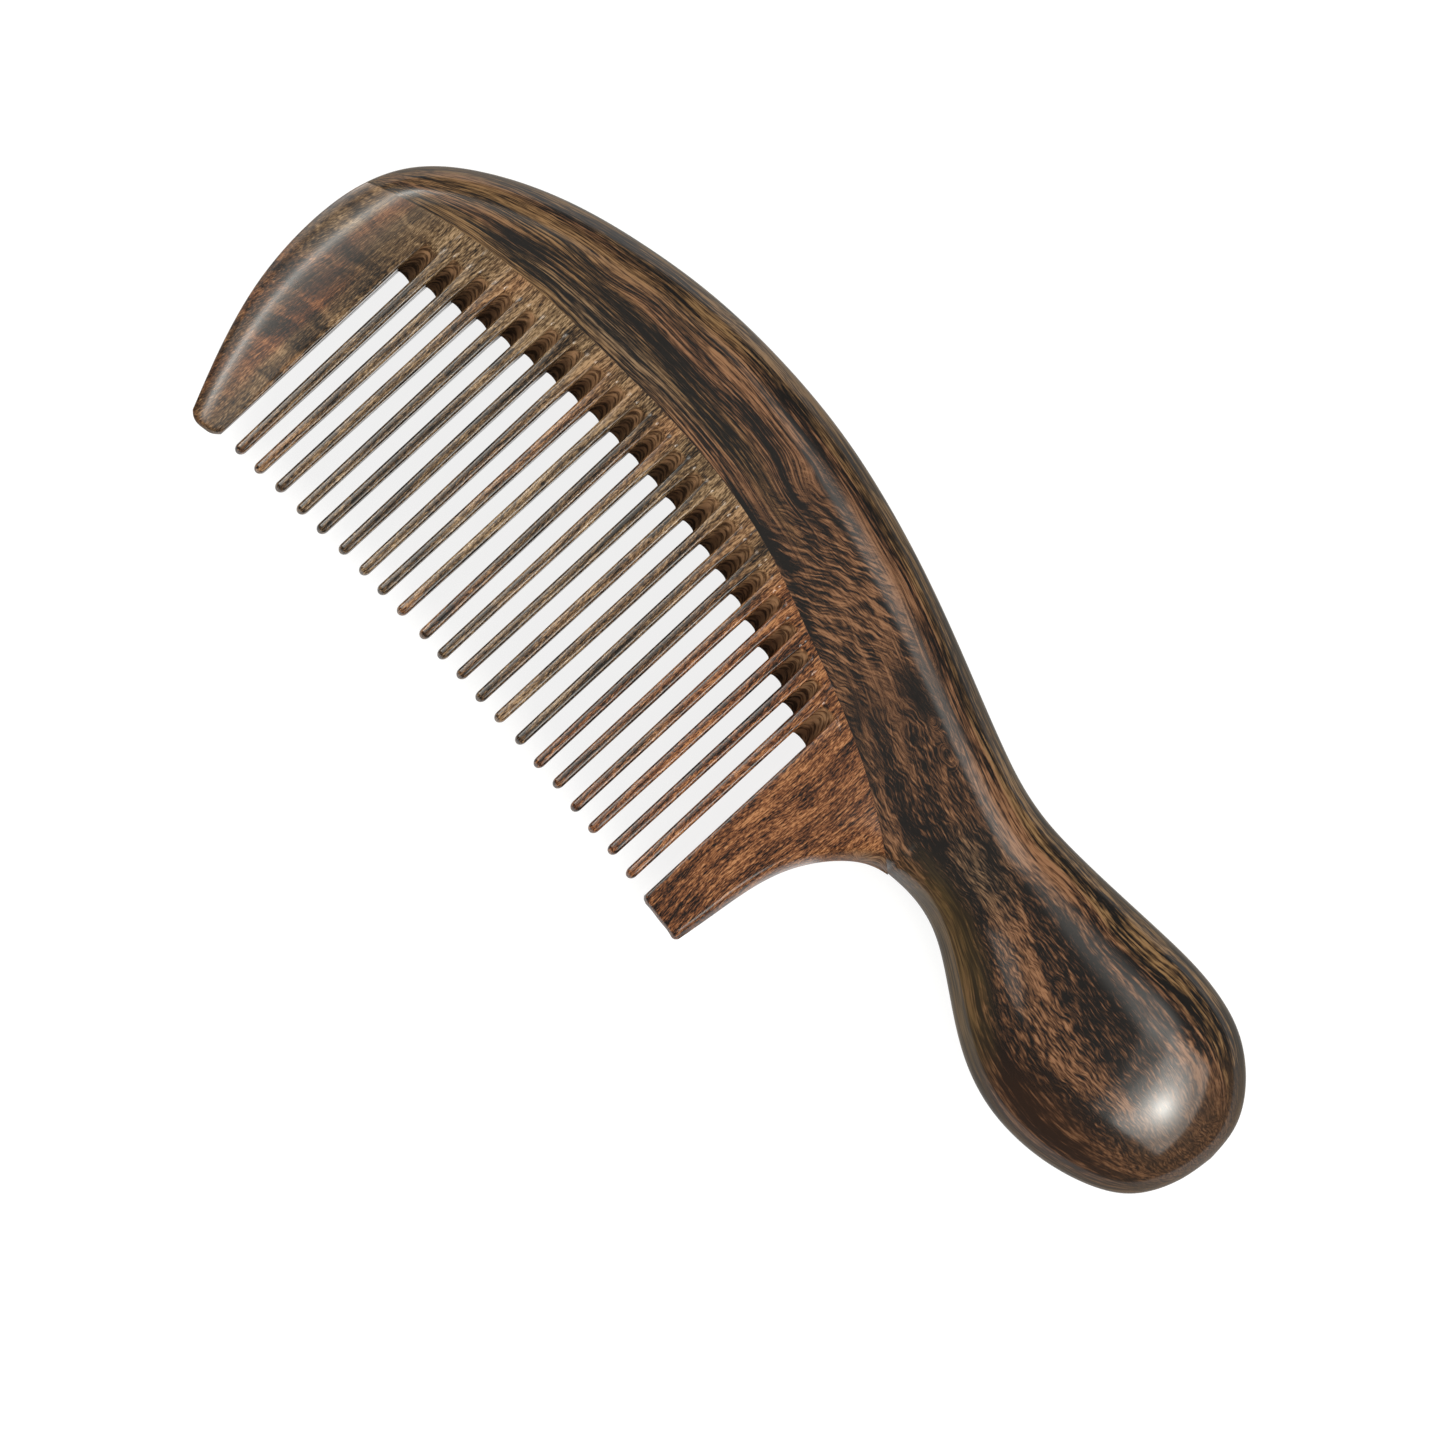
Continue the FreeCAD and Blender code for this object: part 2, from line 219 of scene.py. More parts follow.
def section_rows():
    """Points of the upper half of every section, from its lower to its upper edge."""
    rows = []
    turns = np.arange(SECTION_STEPS + 1) * math.pi / SECTION_STEPS
    share = (1.0 - np.cos(turns)) / 2.0
    for ux, uy, lx, ly, low, high, up_round, low_round in SECTIONS:
        height = math.hypot(ux - lx, uy - ly)
        rise = share * height
        plateau = low + (high - low) * np.minimum(1.0, rise / (height - 0.7 * up_round))
        half = plateau * rounded(rise, low_round) * rounded(height - rise, up_round)
        half[0] = half[-1] = 0.0
        rows.append(np.stack([lx + (ux - lx) * share, ly + (uy - ly) * share, half], 1))
    rows.append(np.tile(HANDLE_END, (SECTION_STEPS + 1, 1)))
    return np.array(rows)


def crossing(values, where):
    """Where a list of values first goes up through zero."""
    i = int(np.argmax(values >= 0.0))
    share = values[i - 1] / (values[i - 1] - values[i])
    return where[i - 1] + (where[i] - where[i - 1]) * share


def back_grid():
    """Upper face of the back and handle, row by row from the joint or the lower edge to the upper edge."""
    rows = section_rows()
    steps = np.linalg.norm(np.diff(rows, axis=0), axis=2).mean(axis=1)
    knots = np.concatenate([[0.0], np.cumsum(steps)])
    along = spline(knots, rows)
    fine = np.linspace(0.0, knots[-1], FINE_STATIONS)
    edges = along(fine)
    above_joint = edges[:, :, 1] - joint_y(edges[:, :, 0])
    first = crossing(above_joint[:, -1], fine)
    kink = crossing(above_joint[:, 0], fine)
    before = int(STATIONS * (kink - first) / (knots[-1] - first))
    after = STATIONS - before
    toothed = np.linspace(0.0, 1.0, before) ** HEAD_EASE
    handle = 1.0 - (1.0 - np.linspace(0.0, 1.0, after)[1:]) ** HANDLE_EASE
    places = np.concatenate([first + (kink - first) * toothed, kink + (knots[-1] - kink) * handle])
    columns = np.arange(SECTION_STEPS + 1)
    sampled = np.linspace(0.0, SECTION_STEPS, FINE_COLUMNS)
    grid = []
    for row in along(places):
        across = spline(columns, row)
        line = across(sampled)
        over = line[:, 1] - joint_y(line[:, 0])
        start = 0.0 if over[0] > -1e-6 else crossing(over, sampled)
        grid.append(across(start + (SECTION_STEPS - start) * np.linspace(0.0, 1.0, HALF_RING)))
    grid = np.array(grid)
    grid[:, :, 2] = np.maximum(grid[:, :, 2], 0.0)
    grid[:, -1, 2] = 0.0
    grid[0] = grid[0, -1]
    grid[-1] = grid[-1, -1]
    grid[before:, 0, 2] = 0.0
    return grid, before


def make_back(grid):
    """Both faces, closed along the joint by a wall with the groove for the tongues."""
    under = grid[:, ::-1][:, 1:].copy()
    under[:, :, 2] *= -1.0
    start = grid[:, 0]
    groove = np.minimum(TONGUE_HALF + GLUE_GAP, start[:, 2])
    inside = (start[:, 0] > TONGUE_X[0]) & (start[:, 0] < TONGUE_X[1])
    depth = np.where(inside, TONGUE_DEPTH + GLUE_GAP, 0.0)
    wall = []
    for side, reach in ((-1.0, 0.0), (-1.0, 1.0), (1.0, 1.0), (1.0, 0.0)):
        point = start.copy()
        point[:, 1] += depth * reach
        point[:, 2] = groove * side
        wall.append(point)
    wall = np.stack(wall, 1)
    return skin("back_and_handle_wood", np.concatenate([grid, under, wall], 1))


# ---- teeth and guards ----

ROUND_STEPS = 5
WALL_STEPS = 3
FLANK_STEPS = 7
CHANNEL_ROWS = 14
CAP_ROWS = 5
TOOTH_ROUND = 0.5
GUARD_ROUND = 0.4             # rounding of a guard's edge beside its gap
TOOTH_CROWN = 0.06            # how much a tooth's face falls towards its sides
TOOTHED_X = (14.0, 116.0)     # where the joint's thickness is read for the board


def gap_end(number, x):
    """Where the through gap with this number ends, at this x."""
    left, right = gap_sides(number)
    middle = (left + right) / 2.0
    out = np.abs(x - middle) / ((right - left) / 2.0)
    return arc_y(ROOT_ARC, middle) - CROWN_RISE * out ** 2 - CORNER_DROP * out ** 12


def tooth_x(number):
    return FIRST_TOOTH_X + (number - 1) * PITCH


def gap_sides(number):
    left = HEAD_GUARD_X if number == 0 else tooth_x(number) + TOOTH_HALF_WIDTH
    right = HEEL_GUARD_X if number == TOOTH_COUNT else tooth_x(number + 1) - TOOTH_HALF_WIDTH
    return left, right


class Board:
    """Heights of the board that the teeth are cut from, flush with the back along the joint."""

    def __init__(self, grid, before):
        x, z = grid[:before, 0, 0], grid[:before, 0, 2]
        toothed = (x > TOOTHED_X[0]) & (x < TOOTHED_X[1])
        self.x = x[toothed]
        self.z = z[toothed]

    def joint_half(self, x):
        return np.interp(x, self.x, self.z)

    def half(self, x, y):
        return TIP_HALF + (self.joint_half(x) - TIP_HALF) * y / joint_y(x)


def soft_min(a, b, width=0.35):
    """The smaller of two heights, with a rounded change from one to the other."""
    share = np.clip(0.5 + 0.5 * (b - a) / width, 0.0, 1.0)
    return b + (a - b) * share - width * share * (1.0 - share)


class Levels:
    """Heights at which rings are made: up the open tooth, then up the channel, then on to the joint."""

    def __init__(self, length, end_reach, end_rows, bar_rows):
        turns = 0.5 * math.pi * np.arange(end_rows) / end_rows
        round_shares = end_reach * (1.0 - np.cos(turns)) / length
        bar_shares = np.linspace(end_reach / length, 1.0, bar_rows, endpoint=False)
        open_shares = np.concatenate([round_shares, bar_shares])
        self.open = len(open_shares)
        climb = np.linspace(0.0, 1.0, CHANNEL_ROWS) ** 0.9
        self.share = np.concatenate([open_shares, np.ones(CHANNEL_ROWS + CAP_ROWS)])
        self.climb = np.concatenate([np.zeros(self.open), climb, np.ones(CAP_ROWS)])
        cap = np.arange(1, CAP_ROWS + 1) / CAP_ROWS
        self.cap = np.concatenate([np.zeros(self.open + CHANNEL_ROWS), cap])
        self.taper = np.ones(len(self.share))
        self.taper[:end_rows] = np.sin(turns)

    def y(self, foot, end, x, board):
        """Height of every level at x, where the open tooth runs from foot to end."""
        rise = board.half(x, end + CHANNEL_HEIGHT) / CHANNEL_SLOPE
        channel_top = end + rise
        y = foot + (end - foot) * self.share + rise * self.climb
        return y + (joint_y(x) - channel_top) * self.cap


def gap_flank(number, side_x, side_y, levels, board):
    """Points from a tooth's side to the middle of the gap beside it, over every level."""
    left, right = gap_sides(number)
    middle = (left + right) / 2.0
    g = (np.arange(1, FLANK_STEPS + 1) / FLANK_STEPS) ** 1.5
    x = side_x[:, None] + (middle - side_x[:, None]) * g
    wanted = middle + (side_x[-1] - middle) * (1.0 - g)
    ends = gap_end(number, wanted)
    y = np.stack([levels.y(0.0, end, at, board) for end, at in zip(ends, wanted)], 1)
    z = soft_min(CHANNEL_SLOPE * np.maximum(y - ends, 0.0), board.half(x, y))
    closed = np.arange(len(levels.share)) < levels.open
    x[closed] = side_x[closed, None]
    y[closed] = side_y[closed, None]
    z[:levels.open + 1] = 0.0
    return np.stack([x, y, z], 2)


def edge_width(full, levels, wall_height):
    """Rounding of the edge above a wall, which fades out as the wall does."""
    return np.minimum(full * (1.0 - 0.8 * levels.climb), 0.45 * np.maximum(wall_height, 0.0))


def tooth_side(centre, half_width, y_middle, y_side, sign, flank, board, levels):
    """Upper face of one side of a tooth, from its middle over its rounded edge and down its wall."""
    low = flank[:, 0, 2]
    body = board.half(centre + sign * half_width, y_side)
    dip = TOOTH_CROWN * (1.0 - levels.climb)
    edge = edge_width(TOOTH_ROUND, levels, body - dip - low)
    columns = []
    for share in (0.0, 0.5, 1.0):
        reach = (half_width - edge) * share
        columns.append((reach, y_middle + (y_side - y_middle) * share, body - dip * share ** 2))
    for k in range(1, ROUND_STEPS + 1):
        turn = 0.5 * math.pi * k / ROUND_STEPS
        columns.append((half_width - edge + edge * math.sin(turn), y_side,
                        body - dip - edge * (1.0 - math.cos(turn))))
    wall_top = body - dip - edge
    for k in range(1, WALL_STEPS + 1):
        columns.append((half_width, y_side, wall_top + (low - wall_top) * k / WALL_STEPS))
    points = [np.stack([centre + sign * reach, y, z], 1) for reach, y, z in columns]
    return np.concatenate([np.stack(points, 1), flank], 1)


def ring_of(right, left):
    """Closed rings from the upper faces of both sides, whose first columns are shared."""
    down = np.array([1.0, 1.0, -1.0])
    return np.concatenate([right, right[:, ::-1] * down, left[:, 1:] * down, left[:, :0:-1]], 1)


def with_tongue(rows):
    """Adds the tongue that is glued into the back, over the last ring."""
    last = rows[-1]
    shoulder = last.copy()
    shoulder[:, 2] = np.clip(last[:, 2], -TONGUE_HALF, TONGUE_HALF)
    crest = shoulder.copy()
    inside = (last[:, 0] > TONGUE_X[0] - 0.01) & (last[:, 0] < TONGUE_X[1] + 0.01)
    crest[inside, 1] += TONGUE_DEPTH
    closing = crest.copy()
    closing[:, 2] = 0.0
    return np.concatenate([rows, [shoulder, crest, closing]])


def tooth_skin(name, rows, levels, flanks):
    """Skin over the rings, left open where a flank has no width, and closed with the tongue."""
    tongued = with_tongue(rows)
    skipped = np.zeros(tongued.shape[:2], bool)
    for first in flanks:
        skipped[:levels.open, first:first + 2 * FLANK_STEPS + 1] = True
    return skin(name, tongued, skipped)


TIP_REACH = 0.95
TIP_ROWS = 6
BAR_ROWS = 22
UNEVEN_LENGTH = 0.12
UNEVEN_WIDTH = 0.05
UNEVEN_LEAN = 0.3


def make_tooth(number, board, draws):
    """Thin tooth with its share of the root, a little uneven by three draws from -1 to 1."""
    lean, longer, wider = draws
    root = tooth_x(number)
    tip_y = arc_y(TIP_ARC, root) + UNEVEN_LENGTH * longer
    gaps = ((number, 1.0), (number - 1, -1.0))
    ends = [float(gap_end(gap, root + sign * TOOTH_HALF_WIDTH)) for gap, sign in gaps]
    levels = Levels(min(ends) - tip_y, TIP_REACH, TIP_ROWS, BAR_ROWS)
    half_width = TIP_HALF_WIDTH + (TOOTH_HALF_WIDTH - TIP_HALF_WIDTH) * levels.share
    half_width = half_width + UNEVEN_WIDTH * wider * np.sin(math.pi * levels.share)
    centre = root + UNEVEN_LEAN * lean * (1.0 - levels.share) ** 1.3
    sides = []
    right_y, left_y = [levels.y(tip_y, end, root, board) for end in ends]
    middle_y = (right_y + left_y) / 2.0
    for (gap, sign), y in zip(gaps, (right_y, left_y)):
        flank = gap_flank(gap, np.full(len(y), root + sign * TOOTH_HALF_WIDTH), y, levels, board)
        flank[:levels.open, :, 0] = (centre + sign * half_width)[:levels.open, None]
        sides.append(tooth_side(centre, half_width, middle_y, y, sign, flank, board, levels))
    shape = np.stack(sides)
    taper = levels.taper[None, :, None]
    shape[..., 0] = centre[None, :, None] + (shape[..., 0] - centre[None, :, None]) * taper
    shape[..., 2] *= taper
    top = 3 + ROUND_STEPS + WALL_STEPS
    body = shape[:, :, :top]
    body[..., 1] += (joint_y(body[..., 0]) - joint_y(root)) * levels.cap[None, :, None]
    half_ring = 2 * (top + FLANK_STEPS)
    flanks = (top - 1, half_ring + top - 2)
    return tooth_skin("tooth_%02d_wood" % number, ring_of(*shape), levels, flanks)


RIM_STEPS = 12
FACE_STEPS = 10
FOOT_REACH = 0.6
FOOT_ROWS = 7
FOOT_BAR_ROWS = 30
RIM_SAMPLES = 1500
DOME_REACH = 10.0     # how far in from the rim the face of a guard still curves


def make_guard(name, board, grid, before, rim_points, foot_points,
               gap, side_x, low_round, high_round, dome):
    """Broad end tooth between a rim, rounded more towards the joint, and the gap beside it."""
    sign = 1.0 if side_x > rim_points[0][0] else -1.0
    rim = outline(rim_points)
    samples = np.linspace(0.0, 1.0, RIM_SAMPLES)
    curve = rim(samples)
    foot_curve = spline(*zip(*foot_points))

    def foot_y(x):
        return foot_curve(np.clip(x, foot_points[0][0], foot_points[-1][0]))

    rim_foot = foot_points[0] if sign > 0 else foot_points[-1]
    start = samples[np.argmin(np.linalg.norm(curve - np.array(rim_foot), axis=1))]
    stop = crossing(curve[:, 1] - joint_y(curve[:, 0]), samples)
    end = float(gap_end(gap, side_x))
    side_foot = foot_points[-1][1] if sign > 0 else foot_points[0][1]
    levels = Levels(end - side_foot, FOOT_REACH, FOOT_ROWS, FOOT_BAR_ROWS)
    side_y = levels.y(side_foot, end, side_x, board)
    progress = (side_y - side_foot) / (side_y[-1] - side_foot)
    rim_at = rim(start + (stop - start) * progress)
    width = low_round + (high_round - low_round) * progress
    flank = gap_flank(gap, np.full(len(side_y), side_x), side_y, levels, board)
    low = flank[:, 0, 2]
    body = board.half(side_x, side_y)
    edge = edge_width(GUARD_ROUND, levels, body - low)
    reach = np.abs(side_x - rim_at[:, 0]) - edge
    turns = 0.5 * math.pi * np.arange(RIM_STEPS) / RIM_STEPS
    rim_share = (1.15 * width / reach)[:, None]
    over_rim = (1.0 - np.cos(turns))[None, :] * rim_share
    over_face = rim_share + (1.0 - rim_share) * np.linspace(0.0, 1.0, FACE_STEPS + 1)[None, :]
    share = np.concatenate([over_rim, over_face], 1)
    inner = np.stack([side_x - sign * edge, side_y], 1)
    plan = rim_at[:, None, :] + (inner - rim_at)[:, None, :] * share[:, :, None]
    lift = joint_y(plan[-1, :, 0]) - plan[-1, :, 1]
    drop = foot_y(plan[0, :, 0]) - plan[0, :, 1]
    drop[0] = 0.0
    low_share = (1.0 - progress) ** 12
    plan[:, :, 1] += lift[None, :] * (progress ** 5)[:, None] + drop[None, :] * low_share[:, None]
    near = np.array([np.min(np.linalg.norm(point - curve, axis=1)) for point in plan.reshape(-1, 2)])
    near = near.reshape(plan.shape[:2])
    z = board.half(plan[:, :, 0], plan[:, :, 1]) * rounded(near, width[:, None])
    z *= 1.0 - dome * (1.0 - np.minimum(near, DOME_REACH) / DOME_REACH) ** 2
    z[:, 0] = 0.0
    flush = np.interp(plan[-1, :, 0], grid[:before + 1, 0, 0], grid[:before + 1, 0, 2]) - z[-1]
    z += flush[None, :] * (progress ** 6)[:, None]
    face_points = np.concatenate([plan, z[:, :, None]], 2)
    columns = []
    wall_top = z[:, -1] - edge
    for k in range(1, ROUND_STEPS + 1):
        turn = 0.5 * math.pi * k / ROUND_STEPS
        columns.append((side_x - sign * edge * (1.0 - math.sin(turn)), wall_top + edge * math.cos(turn)))
    for k in range(1, WALL_STEPS + 1):
        columns.append((np.full(len(edge), side_x), wall_top + (low - wall_top) * k / WALL_STEPS))
    walls = [np.stack([x, side_y + (foot_y(x) - side_foot) * low_share, height], 1)
             for x, height in columns]
    upper = np.concatenate([face_points, np.stack(walls, 1), flank], 1)
    upper[:, :, 2] *= levels.taper[:, None]
    lower = upper[:, ::-1][:, :-1] * np.array([1.0, 1.0, -1.0])
    top = face_points.shape[1] + len(columns)
    return tooth_skin(name, np.concatenate([upper, lower], 1), levels, (top - 1,))


def make_pieces():
    """Every visible piece by the name of the CAD node that it replaces."""
    grid, before = back_grid()
    board = Board(grid, before)
    pieces = {"back_and_handle": make_back(grid)}
    pieces["head_guard"] = make_guard(
        "head_guard_wood", board, grid, before, HEAD_EDGE_POINTS, HEAD_FOOT_POINTS,
        gap=0, side_x=HEAD_GUARD_X, low_round=2.8, high_round=6.2, dome=0.45)
    pieces["heel_guard"] = make_guard(
        "heel_guard_wood", board, grid, before, NOTCH_EDGE_POINTS, HEEL_FOOT_POINTS,
        gap=TOOTH_COUNT, side_x=HEEL_GUARD_X, low_round=1.2, high_round=2.4, dome=0.06)
    random = np.random.default_rng(7)
    for number in range(1, TOOTH_COUNT + 1):
        pieces["tooth_%02d" % number] = make_tooth(number, board, random.uniform(-1.0, 1.0, 3))
    return pieces


# ---- camera, floor and lights ----

# Softboxes, each with smaller and brighter ones in front of it for its hot middle: tilt from straight
# overhead and azimuth in degrees, distance, width and length in metres, brightness and shape.
LIGHTS = [
    ("right_softbox", 34.0, 11.0, 0.64, 0.70, 0.42, 0.9, "RECTANGLE"),
    ("right_inner", 39.0, 9.0, 0.625, 0.66, 0.30, 1.7, "RECTANGLE"),
    ("right_glow_1", 34.0, 3.0, 0.61, 0.56, 0.28, 1.9, "ELLIPSE"),
    ("right_glow_2", 34.5, 3.0, 0.60, 0.42, 0.20, 2.5, "ELLIPSE"),
    ("right_glow_3", 34.5, 3.0, 0.59, 0.30, 0.14, 3.5, "ELLIPSE"),
    ("right_glow_4", 34.5, 3.0, 0.58, 0.20, 0.095, 4.9, "ELLIPSE"),
    ("right_core", 34.5, 3.0, 0.57, 0.11, 0.05, 6.5, "ELLIPSE"),
    ("back_softbox", 34.0, 72.0, 0.62, 0.46, 0.30, 0.35, "ELLIPSE"),
    ("back_glow", 34.0, 70.0, 0.60, 0.30, 0.25, 0.65, "ELLIPSE"),
    ("back_core", 34.0, 69.0, 0.59, 0.20, 0.19, 0.95, "ELLIPSE"),
    ("left_softbox", 42.0, 185.0, 0.64, 0.60, 0.80, 1.2, "RECTANGLE"),
    ("left_glow", 42.0, 185.0, 0.61, 0.52, 0.26, 2.8, "RECTANGLE"),
    ("left_strip", 45.0, 185.0, 0.59, 0.48, 0.09, 6.0, "RECTANGLE"),
]
LIGHT_COLOUR = (1.0, 0.985, 0.92)
WORLD_STRENGTH = 0.15
FLOOR_GREY = 0.22
FLOOR_GLOW = 0.84     # keeps the floor nearly white around the comb's shadow

# The camera's lens and sensor in millimetres, and what it frames, in the drawing frame.
LENS = 250.0
SENSOR = 36.0
VIEW_WIDTH = 205.1
VIEW_MIDDLE = (91.7, 24.6)
VIEW_TURN = 47.3      # degrees


def make_camera():
    """Long lens straight overhead, turned so that the comb lies from corner to corner."""
    data = bpy.data.cameras.new("camera")
    data.lens = LENS
    data.sensor_width = SENSOR
    data.clip_end = 10.0
    camera = bpy.data.objects.new("camera", data)
    bpy.context.scene.collection.objects.link(camera)
    camera.location = place(*VIEW_MIDDLE, VIEW_WIDTH * LENS / SENSOR)
    camera.rotation_euler = (0.0, 0.0, math.radians(VIEW_TURN))
    bpy.context.scene.camera = camera


def make_softbox(name, tilt, azimuth, distance, width, length, radiance, shape):
    """Light that faces the comb, with its width level and its length along its tilt."""
    data = bpy.data.lights.new(name, "AREA")
    data.shape = shape
    data.size = width
    data.size_y = length
    area = width * length * (math.pi / 4.0 if shape == "ELLIPSE" else 1.0)
    data.energy = radiance * math.pi * area
    data.color = LIGHT_COLOUR
    light = bpy.data.objects.new(name, data)
    bpy.context.scene.collection.objects.link(light)
    t = math.radians(tilt)
    a = math.radians(azimuth)
    away = Vector((math.sin(t) * math.cos(a), math.sin(t) * math.sin(a), math.cos(t)))
    light.location = away * distance
    light.rotation_mode = "QUATERNION"
    light.rotation_quaternion = away.to_track_quat("Z", "Y")


def make_stage():
    """Pale floor, even surroundings and the softboxes."""
    bpy.ops.mesh.primitive_plane_add(size=6.0)
    floor = bpy.context.object
    floor.name = "floor"
    material = bpy.data.materials.new("floor_white")
    material.use_nodes = True
    shader = material.node_tree.nodes["Principled BSDF"]
    shader.inputs["Base Color"].default_value = (FLOOR_GREY, FLOOR_GREY, FLOOR_GREY, 1.0)
    shader.inputs["Roughness"].default_value = 0.9
    shader.inputs["Specular IOR Level"].default_value = 0.1
    shader.inputs["Emission Color"].default_value = (1.0, 1.0, 1.0, 1.0)
    shader.inputs["Emission Strength"].default_value = FLOOR_GLOW
    floor.data.materials.append(material)
    world = bpy.data.worlds.new("studio")
    world.use_nodes = True
    world.node_tree.nodes["Background"].inputs["Color"].default_value = (1.0, 1.0, 1.0, 1.0)
    world.node_tree.nodes["Background"].inputs["Strength"].default_value = WORLD_STRENGTH
    bpy.context.scene.world = world
    bpy.context.scene.view_settings.view_transform = "Standard"
    for light in LIGHTS:
        make_softbox(*light)


# ---- wood ----

class Tree:
    """Short ways to add nodes to a material."""

    def __init__(self, name):
        self.material = bpy.data.materials.new(name)
        self.material.use_nodes = True
        self.nodes = self.material.node_tree.nodes
        self.links = self.material.node_tree.links
        self.shader = self.nodes["Principled BSDF"]

    def put(self, socket, value):
        """Links another node's socket, or sets a plain value."""
        if isinstance(value, bpy.types.NodeSocket):
            self.links.new(value, socket)
        elif value is not None:
            socket.default_value = value

    def math(self, operation, a, b=None, c=None):
        node = self.nodes.new("ShaderNodeMath")
        node.operation = operation
        for socket, value in zip(node.inputs, (a, b, c)):
            self.put(socket, value)
        return node.outputs[0]

    def add(self, a, b):
        return self.math("ADD", a, b)

    def times(self, a, b):
        return self.math("MULTIPLY", a, b)

    def sway(self, base, noise, amount):
        """The base, moved up and down by a noise that is 0.5 on average."""
        return self.math("MULTIPLY_ADD", self.math("SUBTRACT", noise, 0.5), amount, base)

    def split(self, vector):
        node = self.nodes.new("ShaderNodeSeparateXYZ")
        self.put(node.inputs[0], vector)
        return node.outputs

    def join(self, x, y, z):
        node = self.nodes.new("ShaderNodeCombineXYZ")
        for socket, value in zip(node.inputs, (x, y, z)):
            self.put(socket, value)
        return node.outputs[0]

    def noise(self, vector, detail, roughness=0.5):
        """Noise whose features are one unit of the vector wide."""
        node = self.nodes.new("ShaderNodeTexNoise")
        self.put(node.inputs["Vector"], vector)
        self.put(node.inputs["Scale"], 1.0)
        self.put(node.inputs["Detail"], detail)
        self.put(node.inputs["Roughness"], roughness)
        return node.outputs["Fac"]

    def span(self, value, low, high, to_low=0.0, to_high=1.0, smooth=True):
        """The value between low and high, as a share between two other values."""
        node = self.nodes.new("ShaderNodeMapRange")
        node.interpolation_type = "SMOOTHSTEP" if smooth else "LINEAR"
        for socket, given in zip(node.inputs, (value, low, high, to_low, to_high)):
            self.put(socket, given)
        return node.outputs[0]

    def mix(self, share, a, b):
        """Colour a turning into colour b as the share goes from 0 to 1."""
        node = self.nodes.new("ShaderNodeMix")
        node.data_type = "RGBA"
        node.clamp_factor = True
        self.put(node.inputs[0], share)
        self.put(node.inputs[6], a)
        self.put(node.inputs[7], b)
        return node.outputs[2]

    def ramp(self, value, stops):
        """Colours of the wood from dark to light, at their places along the value."""
        node = self.nodes.new("ShaderNodeValToRGB")
        self.put(node.inputs[0], value)
        elements = node.color_ramp.elements
        for place_at, _ in stops[1:-1]:
            elements.new(place_at)
        for element, (place_at, shade) in zip(elements, stops):
            element.position = place_at
            element.color = srgb(*shade)
        return node.outputs[0]

    def curve(self, value, points):
        """Smooth curve through points with both coordinates from 0 to 1."""
        node = self.nodes.new("ShaderNodeFloatCurve")
        self.put(node.inputs["Value"], value)
        line = node.mapping.curves[0]
        for x, y in points[1:-1]:
            line.points.new(x, y)
        for point, (x, y) in zip(line.points, points):
            point.location = (x, y)
        node.mapping.update()
        return node.outputs[0]


WOOD_SHADE = 0.68     # base colours are this much darker than they show, because the lights are strong
WOOD_DIFFUSE_ROUGHNESS = 0.5
WOOD_SPECULAR = 0.08
WORN_POLISH = 0.12    # share of the polish that is left on the narrow edges
BUMP_STRENGTH = 0.2
BUMP_DISTANCE = 0.0001
BACK_WORN_TO = 5.4    # distance from the mid-plane at which the polish is whole
TOOTH_WORN_TO = 1.5


def srgb(red, green, blue):
    """Base colour that shows as this 8-bit display colour under the studio lights."""
    parts = [((c / 255.0 + 0.055) / 1.055) ** 2.4 if c > 10 else c / 3294.6 for c in (red, green, blue)]
    return (*[part * WOOD_SHADE for part in parts], 1.0)


def position(tree):
    """The point in the drawing frame, in millimetres."""
    coordinates = tree.nodes.new("ShaderNodeTexCoord")
    node = tree.nodes.new("ShaderNodeMapping")
    tree.links.new(coordinates.outputs["Object"], node.inputs["Vector"])
    node.inputs["Scale"].default_value = (1.0 / MM, 1.0 / MM, 1.0 / MM)
    node.inputs["Location"].default_value = -DRAWING_ORIGIN
    return tree.split(node.outputs[0])


def facing(tree, axis):
    """How squarely the surface faces along an axis of the object, from 0 to 1."""
    coordinates = tree.nodes.new("ShaderNodeTexCoord")
    return tree.math("ABSOLUTE", tree.split(coordinates.outputs["Normal"])[axis])


def fibres(tree, along, across, depth, long_scale, cross_scale, detail=2.0, seed=0.0):
    """Noise drawn out along the grain. The scales are in features per millimetre."""
    place_in = tree.join(tree.times(along, long_scale), tree.times(across, cross_scale),
                         tree.math("MULTIPLY_ADD", depth, cross_scale * 0.7, seed))
    return tree.noise(place_in, detail, 0.6)


def ripples(tree, x, y, z, scale):
    """Soft noise that bends the grain, in features per millimetre of the plan."""
    return tree.noise(tree.join(tree.times(x, scale), tree.times(y, scale), z), 1.0)


def turned(tree, x, y, degrees):
    """Distances along and across a direction of the plan."""
    c = math.cos(math.radians(degrees))
    s = math.sin(math.radians(degrees))
    return (tree.add(tree.times(x, c), tree.times(y, s)), tree.add(tree.times(x, -s), tree.times(y, c)))


def patch(tree, x, y, centre, reach, degrees=0.0, hard=0.0):
    """1 in the middle of an ellipse of the plan, falling to 0 at its edge."""
    off_x = tree.math("SUBTRACT", x, centre[0])
    off_y = tree.math("SUBTRACT", y, centre[1])
    squares = []
    for off, half in zip(turned(tree, off_x, off_y, degrees), reach):
        squares.append(tree.math("POWER", tree.math("ABSOLUTE", tree.math("DIVIDE", off, half)), 2.0))
    return tree.span(tree.math("SQRT", tree.add(*squares)), hard, 1.0, 1.0, 0.0)


def add_patches(tree, value, x, y, patches):
    """The value with what every patch adds."""
    for centre, reach, degrees, amount in patches:
        value = tree.math("MULTIPLY_ADD", patch(tree, x, y, centre, reach, degrees), amount, value)
    return value


